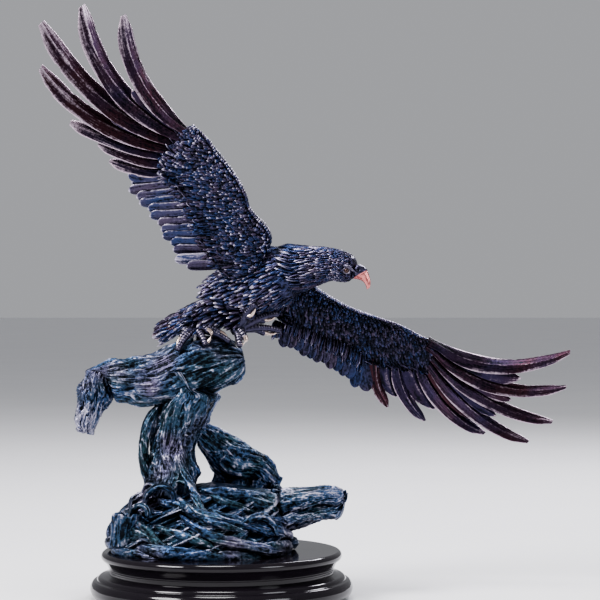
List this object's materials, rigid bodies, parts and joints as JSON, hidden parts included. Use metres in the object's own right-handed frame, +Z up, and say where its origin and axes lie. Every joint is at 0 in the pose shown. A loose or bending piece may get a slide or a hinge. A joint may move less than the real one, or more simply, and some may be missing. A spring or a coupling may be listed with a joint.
{
  "type": "bronze eagle statuette",
  "caption": "Cast bronze eagle with spread wings landing on a driftwood bough above a root mound, bolted to a round black lacquered plinth.",
  "frame": {"origin": "centre of the underside of the round plinth's felt pad", "axes": "+Z up, +X the way the eagle's head points seen from the front, -Y to the front"},
  "size_m": [0.4845, 0.241, 0.5344],
  "materials": {
    "felt": "matte",
    "black_lacquer": "gloss",
    "zinc_steel": "satin",
    "driftwood_bronze": "satin",
    "flight_feather_bronze": "satin",
    "plumage_bronze": "satin",
    "beak_bronze": "polished",
    "eye_bronze": "polished",
    "talon_bronze": "polished",
    "foot_bronze": "satin"
  },
  "bodies": {
    "root": {"back_limb": "driftwood_bronze", "beak": "beak_bronze", "body": "plumage_bronze", "bough": "driftwood_bronze", "broken_limb": "driftwood_bronze", "curled_bark": "driftwood_bronze", "drooping_stub": "driftwood_bronze", "eyes": "eye_bronze", "felt_pad": "felt", "foot_studs": "zinc_steel", "left_foot": "foot_bronze", "left_primary_1": "flight_feather_bronze", "left_primary_2": "flight_feather_bronze", "left_primary_3": "flight_feather_bronze", "left_primary_4": "flight_feather_bronze", "left_primary_5": "flight_feather_bronze", "left_primary_6": "flight_feather_bronze", "left_primary_7": "flight_feather_bronze", "left_secondaries": "flight_feather_bronze", "left_talons": "talon_bronze", "left_thigh": "plumage_bronze", "left_wing_arm": "plumage_bronze", "limb_pins": "zinc_steel", "mound_splinters": "driftwood_bronze", "mounting_bolts": "zinc_steel", "mounting_washers": "zinc_steel", "neck_and_head": "plumage_bronze", "plinth_lower_tier": "black_lacquer", "plinth_upper_tier": "black_lacquer", "ribbon_root": "driftwood_bronze", "right_foot": "foot_bronze", "right_primary_1": "flight_feather_bronze", "right_primary_2": "flight_feather_bronze", "right_primary_3": "flight_feather_bronze", "right_primary_4": "flight_feather_bronze", "right_primary_5": "flight_feather_bronze", "right_primary_6": "flight_feather_bronze", "right_primary_7": "flight_feather_bronze", "right_secondaries": "flight_feather_bronze", "right_talons": "talon_bronze", "right_thigh": "plumage_bronze", "right_wing_arm": "plumage_bronze", "root_mound": "driftwood_bronze", "side_root": "driftwood_bronze", "tail_feathers": "flight_feather_bronze", "tie_rod": "zinc_steel", "tie_rod_nut": "zinc_steel", "tie_rod_washer": "zinc_steel", "tier_screws": "zinc_steel", "trunk": "driftwood_bronze", "wing_pins": "zinc_steel"}
  },
  "joints": []
}
